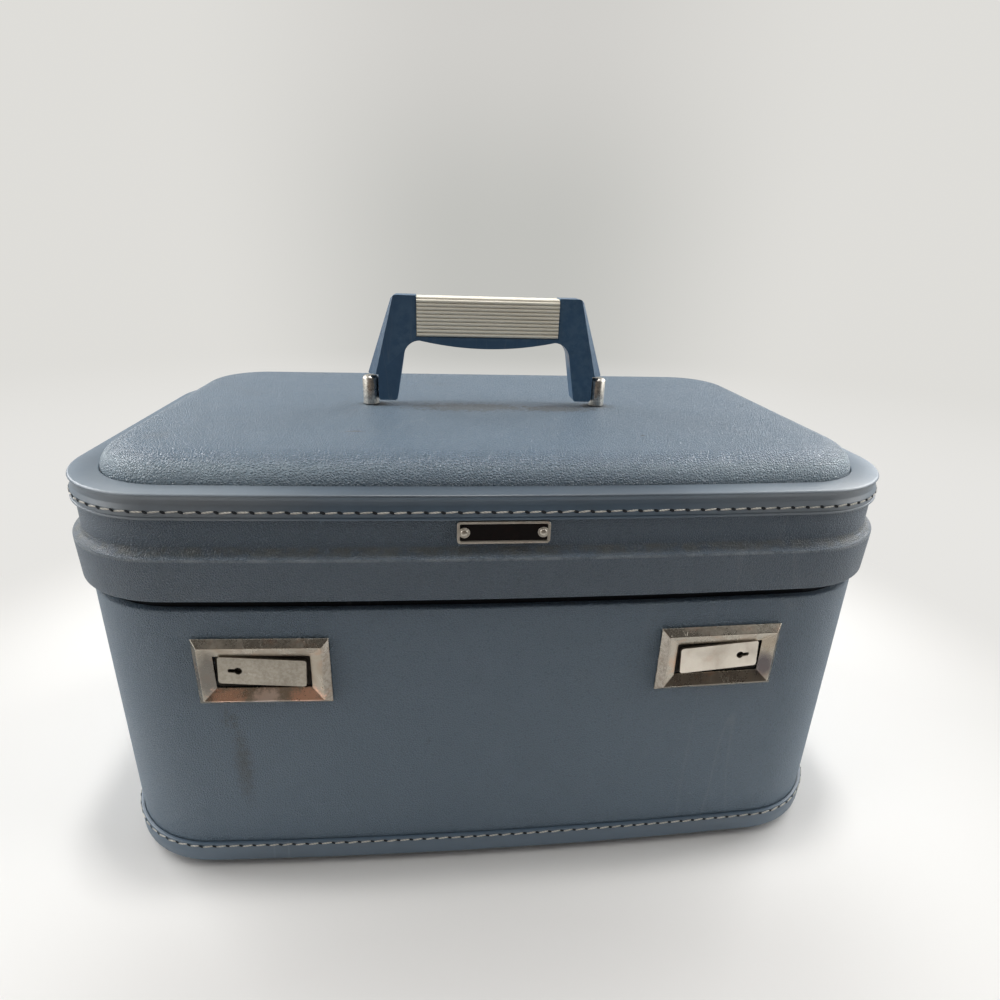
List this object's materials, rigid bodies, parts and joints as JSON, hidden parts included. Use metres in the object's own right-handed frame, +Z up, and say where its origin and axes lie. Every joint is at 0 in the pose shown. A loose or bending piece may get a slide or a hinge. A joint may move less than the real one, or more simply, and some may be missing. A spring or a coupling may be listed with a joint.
{
  "type": "cosmetic train case",
  "caption": "Stiff covered travel case for cosmetics with a rear-hinged domed lid, a swinging top handle with a ribbed grip, front latches and a lid mirror.",
  "frame": {"origin": "on the surface the case stands on, under the middle of its footprint (the middle of the whole box in X and Y)", "axes": "+Z up; +X to the right of someone facing the latches, along the case's length; -Y towards the front with the latches, +Y towards the hinges"},
  "size_m": [0.357, 0.2256, 0.2524],
  "materials": {
    "pebbled_vinyl": "blue-grey pebble-grained vinyl cloth, satin",
    "smooth_binding": "smooth blue-grey vinyl strip, satin",
    "valance_band": "near-black paint, matt",
    "lining_cloth": "pale blue taffeta",
    "bottom_board": "dark covered fibreboard",
    "aged_nickel": "aged nickel plate with a warm tarnish",
    "inner_steel": "plain zinc-plated steel",
    "handle_moulding": "dark blue moulded plastic, semi-gloss",
    "grip_ivory": "ivory plastic with fine ribs",
    "nameplate_metal": "bright frame round a bare dark field",
    "mirror_glass": "silvered glass"
  },
  "bodies": {
    "case_body": {"body_shell": "pebbled_vinyl", "bottom_panel": "bottom_board", "bottom_binding": "smooth_binding", "valance_band": "valance_band", "body_lining": "lining_cloth", "foot_front_left": "aged_nickel", "foot_front_right": "aged_nickel", "foot_rear_left": "aged_nickel", "foot_rear_right": "aged_nickel", "latch_bezel_left": "aged_nickel", "latch_bezel_right": "aged_nickel", "latch_base_left": "inner_steel", "latch_base_right": "inner_steel", "latch_bracket_left": "inner_steel", "latch_bracket_right": "inner_steel", "latch_cover_left": "aged_nickel", "latch_cover_right": "aged_nickel", "hinge_body_leaf_left": "aged_nickel", "hinge_body_leaf_right": "aged_nickel", "hinge_pin_left": "inner_steel", "hinge_pin_right": "inner_steel", "hinge_rivet_body_left_inner": "aged_nickel", "hinge_rivet_body_left_outer": "aged_nickel", "hinge_rivet_body_right_inner": "aged_nickel", "hinge_rivet_body_right_outer": "aged_nickel"},
    "lid": {"lid_shell": "pebbled_vinyl", "lid_panel": "pebbled_vinyl", "lid_binding": "smooth_binding", "lid_lining": "lining_cloth", "lid_mirror": "mirror_glass", "mirror_frame": "aged_nickel", "strike_left": "aged_nickel", "strike_right": "aged_nickel", "hinge_lid_leaf_left": "aged_nickel", "hinge_lid_leaf_right": "aged_nickel", "hinge_rivet_lid_left_inner": "aged_nickel", "hinge_rivet_lid_left_outer": "aged_nickel", "hinge_rivet_lid_right_inner": "aged_nickel", "hinge_rivet_lid_right_outer": "aged_nickel", "nameplate": "nameplate_metal", "nameplate_rivet_left": "aged_nickel", "nameplate_rivet_right": "aged_nickel", "handle_post_left": "aged_nickel", "handle_post_right": "aged_nickel", "handle_pin_left": "inner_steel", "handle_pin_right": "inner_steel", "post_nut_left": "inner_steel", "post_nut_right": "inner_steel"},
    "handle": {"handle_frame": "handle_moulding", "grip_sleeve": "grip_ivory"},
    "left_latch": {"thumb_plate_left": "aged_nickel", "latch_washer_left": "inner_steel", "latch_arm_left": "inner_steel"},
    "right_latch": {"thumb_plate_right": "aged_nickel", "latch_washer_right": "inner_steel", "latch_arm_right": "inner_steel"}
  },
  "joints": [
    {"name": "lid_hinge", "type": "hinge", "parent": "case_body", "child": "lid", "pos_m": [0, 0.11015, 0.14225], "axis": [-1, 0, 0], "range_deg": [0, 105]},
    {"name": "handle_swing", "type": "hinge", "parent": "lid", "child": "handle", "pos_m": [0, -0.00725, 0.2062], "axis": [1, 0, 0], "range_deg": [-90, 90]},
    {"name": "left_latch_turn", "type": "hinge", "parent": "case_body", "child": "left_latch", "pos_m": [-0.097, -0.10758, 0.1099], "axis": [-0.0344, -0.9994, 0], "range_deg": [0, 5.1]},
    {"name": "right_latch_turn", "type": "hinge", "parent": "case_body", "child": "right_latch", "pos_m": [0.097, -0.10758, 0.1099], "axis": [-0.0344, 0.9994, 0], "range_deg": [0, 5.1]}
  ]
}
